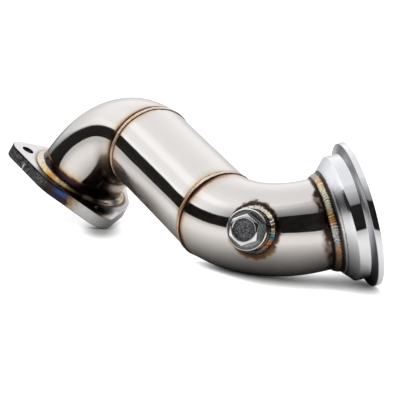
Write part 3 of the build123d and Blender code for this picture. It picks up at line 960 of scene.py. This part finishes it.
def bead_piece(name, top, root, edge, groove, across, material, backwards=False, root_edge=1.0):
    """A closed bead: rows run round the joint, and columns go across its top and down to its root."""
    rows = len(top)
    grid = np.concatenate([top, *root], axis=1)
    keys = {}
    for key, values, below in (("edge", edge, root_edge), ("groove", groove, 1.0), ("across", across, 1.0)):
        own = np.broadcast_to(values, top.shape[:2])
        keys[key] = np.concatenate([own, np.full((rows, len(root)), below)], axis=1)
    if backwards:
        grid = grid[:, ::-1]
        keys = {key: values[:, ::-1] for key, values in keys.items()}
    cols = grid.shape[1]
    keys["turn"] = np.repeat(np.arange(rows) / rows, cols)
    faces = [f[::-1] for f in wrap_faces(rows, cols)]
    add_piece(name, grid, faces, material, BEAD_SHARP, keys)


def seam_bead(name, seam, up, down, material, seed):
    """The bead between two tubes, on the mitre plane where they meet."""
    ring = Ring(seam, 1100)
    u = ring.u
    v = np.linspace(-1, 1, 15)[None, :]
    around = ring.points(TUBE_R, 0.0)[:, 0]
    uneven = wobble(around, 0.25, seed)[:, None]
    shift = wobble(around, 0.12, seed + 3)[:, None] * 0.35
    s = v * SEAM_WIDTH * (1 + 0.16 * uneven) + shift
    base = np.where(s > 0, surface_radius(seam, down, u, s), surface_radius(seam, up, u, s))
    ripple = scallops(u * TUBE_R + 0 * v, v, SEAM_PITCH, int(seed * 7))
    arch = np.sqrt(np.clip(1 - v**2, 0, 1))
    h = arch * (0.8 + 0.22 * uneven + 0.2 * (ripple - 0.5)) - 0.12
    root = [ring.points(base[:, [i]] - 0.7, s[:, [i]]) for i in (-1, 0)]
    bead_piece(name, ring.points(base + h, s), root, np.abs(v), ripple, v, material)


def flange_bead_piece():
    ring = Ring(flange_top, 1000)
    u = ring.u
    v = np.linspace(0, 1, 17)[None, :]
    around = ring.points(FLANGE_AT_R, 0.0)[:, 0]
    uneven = wobble(around, 0.1, 4.0)[:, None]
    toe = FLANGE_TOE_R + 0.7 * uneven
    top_h = 3.4 + 0.35 * wobble(around, 0.16, 8.0)[:, None]
    tube = surface_radius(flange_top, upper_start, u, top_h) - 0.1
    ripple = scallops(u * 34 + 0 * v, v * 2 - 1, FLANGE_PITCH, 71, 0.6)
    patchy = np.clip(0.5 + 0.9 * wobble(around, 0.07, 15.0)[:, None], 0.15, 1.0)
    ripple = 1 + (ripple - 1) * patchy
    bulge = dome(v) * (0.72 + 0.12 * uneven + 0.2 * (ripple - 0.5))
    lean = math.atan2(3.4, 5.0)
    top = ring.points(toe + (tube - toe) * v + bulge * math.sin(lean), top_h * v + bulge * math.cos(lean))
    root = [ring.points(FLANGE_ROOT_R, top_h - 0.1), ring.points(FLANGE_ROOT_R, 0.05)]
    bead_piece("flange_weld", top, root, np.abs(v * 2 - 1), ripple, v, flange_bead, backwards=True)


def outlet_bead_piece():
    ring = Ring(seat, 1100)
    v = np.linspace(0, 1, 19)[None, :]
    around = ring.points(OUTLET_AT_R, 0.0)[:, 0]
    uneven = wobble(around, 0.14, 14.0)[:, None]
    low = -2.7 + 0.35 * uneven
    high = 3.4 + 0.4 * wobble(around, 0.18, 23.0)[:, None]
    slope = (BARREL_R - HUB_R) / (CONE_END - HUB)
    r_low = TUBE_R - 0.05
    r_high = HUB_R + slope * (high - HUB) - 0.05
    ripple = scallops(ring.u * OUTLET_AT_R + 0 * v, v * 2 - 1, OUTLET_PITCH, 91, 0.55)
    patchy = 0.5 + 0.5 * wobble(around, 0.5, 51.0)[:, None]
    ripple = ripple * (0.45 + 0.55 * np.clip(patchy, 0, 1)) + 0.3 * (1 - patchy)
    bulge = dome(v) ** 0.8 * (0.66 + 0.1 * uneven + 0.36 * (ripple - 0.5))
    lean = math.atan2(3.0, 6.0)
    r = r_low + (r_high - r_low) * v + bulge * math.cos(lean)
    h = low + (high - low) * v - bulge * math.sin(lean)
    root = [ring.points(OUTLET_ROOT_R, high - 0.6), ring.points(OUTLET_ROOT_R, low + 0.3)]
    edge = np.where(v < 0.42, (0.42 - v) / 0.42, (v - 0.42) / 0.54)
    bead_piece("vband_weld", ring.points(r, h), root, edge, ripple, v, outlet_bead, root_edge=2.0)


def boss_bead_piece():
    ring = Ring(boss, 720)
    v = np.linspace(0, 1, 21)[None, :]
    around = ring.points(BOSS_AT_R, 28.0)[:, 0]
    uneven = wobble(around, 0.16, 34.0)[:, None]
    toe = BOSS_TOE_R + 0.7 * uneven
    r = toe + (BOSS_R - 0.1 - toe) * v
    tube = bisect(
        lambda h: axis_distance(ring.points(r, h)) < TUBE_R, np.full(r.shape, 15.0), np.full(r.shape, 40.0)
    )
    ripple = scallops(ring.u * BOSS_AT_R + 0 * v, v * 2 - 1, BOSS_PITCH, 17)
    rise = np.sin(v * math.pi / 2) ** 0.9 * (3.2 + 0.25 * uneven) - 0.12
    top = ring.points(r, tube + rise + dome(v) * 0.7 * (ripple - 0.5))
    root = [top[:, -1:] - ring.n * 4.0, top[:, :1] - ring.n * 0.6]
    bead_piece("boss_weld", top, root, np.abs(v * 2 - 1), ripple, v, boss_bead, backwards=True)


seam_bead("lower_seam_weld", lower_seam, middle_end, lower_start, lower_seam_steel, 2.0)
seam_bead("upper_seam_weld", upper_seam, upper_end, middle_start, upper_seam_steel, 6.0)
flange_bead_piece()
outlet_bead_piece()
boss_bead_piece()


# Turned pieces
def rounded(profile, radius, steps=5):
    """The closed profile with small rounds at its corners."""
    made = []
    pts = [np.array(p, float) for p in profile]
    for i, b in enumerate(pts):
        u, w = pts[i - 1] - b, pts[(i + 1) % len(pts)] - b
        lu, lw = np.linalg.norm(u), np.linalg.norm(w)
        r = min(radius, lu * 0.45, lw * 0.45)
        p, q = b + u / lu * r, b + w / lw * r
        for t in np.linspace(0, 1, steps):
            made.append((1 - t) ** 2 * p + 2 * t * (1 - t) * b + t**2 * q)
    return np.array(made)


def turned_piece(name, ring, r, h, closed, material, sharp):
    """A piece turned about a ring's axis, from the radius and height of each row of its profile."""
    points = ring.points(r, h).swapaxes(0, 1)
    faces = wrap_faces(*points.shape[:2], close_rows=closed)
    add_piece(name, points, faces, material, sharp)


def outlet_piece():
    """The outlet: outer cone, barrel and lip, then its register and bore back to the hub."""
    profile = [
        (HUB_R, HUB), (BARREL_R, CONE_END), (BARREL_R, BARREL_END), (LIP_R, LIP_START), (LIP_R, VBAND),
        (REGISTER_R, VBAND), (REGISTER_R, REGISTER_H), (OUTLET_BORE_R, REGISTER_H),
        (OUTLET_BORE_R, INNER_CONE[1]), (BORE_R, INNER_CONE[0]), (BORE_R, HUB),
    ]
    r, h = rounded(profile, OUTLET_ROUND)[::-1].T
    turned_piece("vband_flange", Ring(seat, 256), r, h, True, turned_steel, 30)


def plug_piece():
    """Plug: shank, round collar and hexagon with a crowned top and a shallow dish."""
    ring = Ring(boss, 360)
    u = ring.u[:, 0]
    fold = np.abs((u + HEX_TURN + math.pi / 6) % (math.pi / 3) - math.pi / 6)
    hexagon = HEX_FLATS / 2 / np.cos(fold)
    crown = PLUG_TOP - (hexagon - CROWN_R) * math.tan(math.radians(30))
    floor = PLUG_TOP - DISH_D
    rows = [
        # Shank and collar
        (AXIS_R, SHANK_END), (SHANK_R - 1, SHANK_END), (SHANK_R, SHANK_END + 1), (SHANK_R, BOSS_TOP),
        (COLLAR_R - 0.3, BOSS_TOP), (COLLAR_R, BOSS_TOP + 0.3), (COLLAR_R, COLLAR_FACE - RIM),
        (COLLAR_R - 0.08, COLLAR_FACE - RIM + 0.15), (COLLAR_R - RIM + 0.15, COLLAR_FACE - 0.08),
        (COLLAR_R - RIM, COLLAR_FACE),
        # Hexagon and crown
        (hexagon + HEX_ROUND, COLLAR_FACE), (hexagon, COLLAR_FACE + HEX_ROUND), (hexagon, crown - HEX_ROUND),
        (hexagon - HEX_ROUND / 2, crown), (CROWN_R + 0.12, PLUG_TOP - 0.08), (CROWN_R - 0.12, PLUG_TOP),
        # Dish
        (DISH_R + 0.25, PLUG_TOP), (DISH_R, PLUG_TOP - 0.12), (DISH_FLOOR_R + 0.2, floor + 0.15),
        (DISH_FLOOR_R - 0.2, floor), (3.5, floor), (AXIS_R, floor),
    ]
    r, h = (np.stack([np.broadcast_to(row[i], u.shape) for row in rows], axis=1) for i in (0, 1))
    turned_piece("sensor_plug", ring, r, h, False, plug_steel, 22)


outlet_piece()
plug_piece()


def repaint(obj, material):
    obj.data.materials.clear()
    obj.data.materials.append(material)


repaint(nodes["flange_plate"], plate_steel)
repaint(nodes["sensor_boss"], boss_steel)


# Floor
FLOOR_HALF = 12.0
FLOOR_NEAR = 0.86
FLOOR_FAR = 0.56
FLOOR_WARM = (1.0, 0.975, 0.955)
FLOOR_FRONT = (-0.205, -0.979, 0)
FLOOR_BESIDE = (0.979, -0.205, 0)
SHADE_LENGTH = 54.0
SHADE_WIDTH = 20.0


def occlusion(g, distance, color):
    """A colour that darkens where something is nearer than a distance in metres."""
    node = g.new("AmbientOcclusion", Color=color, Distance=distance)
    node.samples = 8
    return node.outputs["Color"]


def make_floor():
    """A plain pale floor that keeps the shadow where the object nearly touches it, with a painted shadow
    round the plate's lowest corner, and in gloss painted light that fades away from the object.
    """
    g = Graph("floor")
    path = g.new("LightPath").outputs
    # Painted light: seen in gloss, the floor is lighter near the object and darker farther off
    fade = g.span(g.vec("LENGTH", g.p), 120.0, 600.0, FLOOR_NEAR, FLOOR_FAR)
    warm = g.vec("MULTIPLY", FLOOR_WARM, fade)
    # A painted soft shadow round the plate's lowest corner, longer to the front than to the sides
    touch = min(nodes["flange_plate"].data.vertices, key=lambda v: v.co.z).co / MM
    spot = g.vec("SUBTRACT", g.p, (touch.x - 6, touch.y - 9, 0))
    front = g.math("DIVIDE", g.vec("DOT_PRODUCT", spot, FLOOR_FRONT), SHADE_LENGTH)
    beside = g.math("DIVIDE", g.vec("DOT_PRODUCT", spot, FLOOR_BESIDE), SHADE_WIDTH)
    spot = g.math("SQRT", g.madd(front, front, g.mul(beside, beside)))
    shade = g.span(spot, 1, 0.1, 1, 0.28)
    # Gloss sees a warm floor, and the lamps' light falls on a grey one
    color = g.mix(path["Is Glossy Ray"], g.vec("MULTIPLY", (0.55, 0.55, 0.55), shade), warm)
    lit = g.mix(path["Is Glossy Ray"], color, occlusion(g, 0.07, color))
    diffuse = g.new("BsdfDiffuse", Color=lit)
    # The camera sees it white, apart from the shade
    reach = g.span(g.vec("DOT_PRODUCT", g.p, (1, 0, 0)), 5.0, 40.0, 0.005, 0.018)
    strength = g.mul(path["Is Camera Ray"], shade, 0.85)
    glow = g.new("Emission", Color=occlusion(g, reach, WHITE), Strength=strength)
    both = g.fill(g.new("AddShader"), diffuse.outputs[0], glow.outputs[0])
    s = FLOOR_HALF
    corners = [(-s, -s, 0), (s, -s, 0), (s, s, 0), (-s, s, 0)]
    new_object("floor", corners, [(0, 1, 2, 3)], g.show(both))


make_floor()


# Dark card: azimuth 0 is the -Y side and 90 the +X side, and its top's elevations go with CARD_AZ
CARD_AZ = [-176, -160, -146, -125, -110, -95, -80, -68, -55, -40, -28, -15, 0, 15, 30, 45, 60, 75, 92]
CARD_TOP = [3, 5, 9, 16, 18.5, 19, 20, 22, 27, 35, 39.5, 41, 41, 41, 40, 38, 34, 28, 20]
CARD_GLOW = ([-176, -140, -118], [0.05, 0.025, 0.008])
CARD_STEP = 4
CARD_AWAY = 3.0
CARD_FOOT = 0.05


def card_material():
    """A card that its points make dark or clear, with faint shapes in its dark part."""
    g = Graph("card")
    shapes = g.math("MULTIPLY_ADD", g.noise(0.0011, 4), 0.04, -0.017, clamp=True)
    glow = g.new("Emission", Color=(1.0, 0.93, 0.88), Strength=g.add(g.attribute("glow"), shapes))
    clear = g.new("BsdfTransparent")
    return g.show(g.mix_shader(g.attribute("cover"), clear.outputs[0], glow.outputs[0]))


def ease(x, low, high):
    t = min(1, max(0, (x - low) / (high - low)))
    return t * t * (3 - 2 * t)


def ring_card():
    """A standing curved card round the object, dark up to its top and hazy above."""
    points, faces, glow, cover = [], [], [], []
    azimuths = list(range(CARD_AZ[0], CARD_AZ[-1] + CARD_STEP, CARD_STEP))
    for az in azimuths:
        top = float(np.interp(az, CARD_AZ, CARD_TOP))
        haze = ease(az, -96, -52)
        edge = 0.6 + 3.0 * ease(-az, 120, 150)
        # Elevations up the card and how much it covers at each
        levels = [(-1.5, 1.0), (top * 0.5, 1.0), (top - edge, 1.0), (top + edge, 0.78 * haze)]
        levels += [(top + 12, 0.6 * haze), (top + 24, 0.28 * haze), (top + 38, 0.0)]
        a = math.radians(az)
        for elevation, covered in levels:
            z = math.tan(math.radians(elevation)) * CARD_AWAY + CARD_FOOT
            points.append((math.sin(a) * CARD_AWAY, -math.cos(a) * CARD_AWAY, z))
            glow.append(float(np.interp(az, *CARD_GLOW)))
            cover.append(covered)
    rows = len(levels)
    for i in range(len(azimuths) - 1):
        for n in range(i * rows, i * rows + rows - 1):
            faces.append((n, n + rows, n + rows + 1, n + 1))
    card = new_object("dark_card", points, faces, card_material(), {"glow": glow, "cover": cover})
    for kind in ("camera", "diffuse", "shadow", "transmission", "volume_scatter"):
        setattr(card, "visible_" + kind, False)


ring_card()


# World: plain light on the floor, white for the camera, and a studio's soft shapes in gloss
def make_world():
    world = bpy.data.worlds.new("world")
    scene.world = world
    world.use_nodes = True
    w = Nodes(world.node_tree)
    w.tree.nodes.clear()
    path = w.new("LightPath").outputs
    sky = w.new("TexCoord").outputs["Generated"]
    east, north, up = w.new("SeparateXYZ", Vector=sky).outputs
    turned = w.math("ARCTAN2", east, w.mul(north, -1.0))

    def glow(level, more, *windows):
        """Adds to the level where all windows are open, each a value and where it opens."""
        return w.madd(w.mul(*(w.span(*window) for window in windows)), more, level)

    level = w.madd(w.noise(1.6, 1, 0.5, at=sky), 0.16, 0.86)
    # Softbox, and a low one under it
    level = glow(level, 0.17, (up, 0.54, 0.63), (up, 0.78, 0.7), (turned, -2.5, -2.2), (turned, -1.2, -1.6))
    level = glow(level, 0.13, (up, 0.41, 0.36), (turned, -1.5, -1.8), (turned, -2.6, -2.3))
    # Darker overhead, brighter behind and at one side, and greyer low down behind
    level = w.mul(level, w.span(up, 0.98, 0.74, 0.91, 1))
    level = glow(level, 0.07, (north, 0.5, 0.9), (up, 0.25, 0.42))
    level = glow(level, 0.04, (up, 0.24, 0.4), (up, 0.85, 0.7), (turned, -2.8, -2.5), (turned, -1.3, -1.6))
    level = w.mul(level, glow(1.0, -0.27, (north, 0.4, 0.78), (up, 0.55, 0.06)))
    plain = w.new("Background", Color=(1, 0.995, 0.985), Strength=1.0)
    studio = w.new("Background", Color=(1, 0.992, 0.982), Strength=level)
    white = w.new("Background", Color=WHITE, Strength=1.0)
    seen = w.mix_shader(path["Is Glossy Ray"], plain.outputs[0], studio.outputs[0])
    seen = w.mix_shader(path["Is Camera Ray"], seen, white.outputs[0])
    w.feed(w.new("OutputWorld").inputs[0], seen)


make_world()


# Lamp and camera
LAMP_PLACE = Vector((0.1, 0.2, 1.4))

lamp_data = bpy.data.lights.new("top_lamp", "AREA")
lamp_data.shape = "DISK"
lamp_data.size, lamp_data.energy = 1.2, 3.0
lamp = bpy.data.objects.new("top_lamp", lamp_data)
lamp.location = LAMP_PLACE
lamp.rotation_mode = "QUATERNION"
lamp.rotation_quaternion = (-LAMP_PLACE).to_track_quat("-Z", "Y")
lamp.visible_glossy = False
scene.collection.objects.link(lamp)

camera_data = bpy.data.cameras.new("camera")
camera_data.sensor_width = 36.0
camera_data.lens = CAMERA_LENS
camera_data.clip_start, camera_data.clip_end = 0.05, 60.0
camera = bpy.data.objects.new("camera", camera_data)
scene.collection.objects.link(camera)
camera_back = CAMERA_DOWN.cross(CAMERA_RIGHT)
place = Matrix((CAMERA_RIGHT, -CAMERA_DOWN, camera_back)).transposed().to_4x4()
place.translation = CAMERA_PLACE * MM
camera.matrix_world = place
scene.camera = camera

scene.view_settings.view_transform = "Standard"
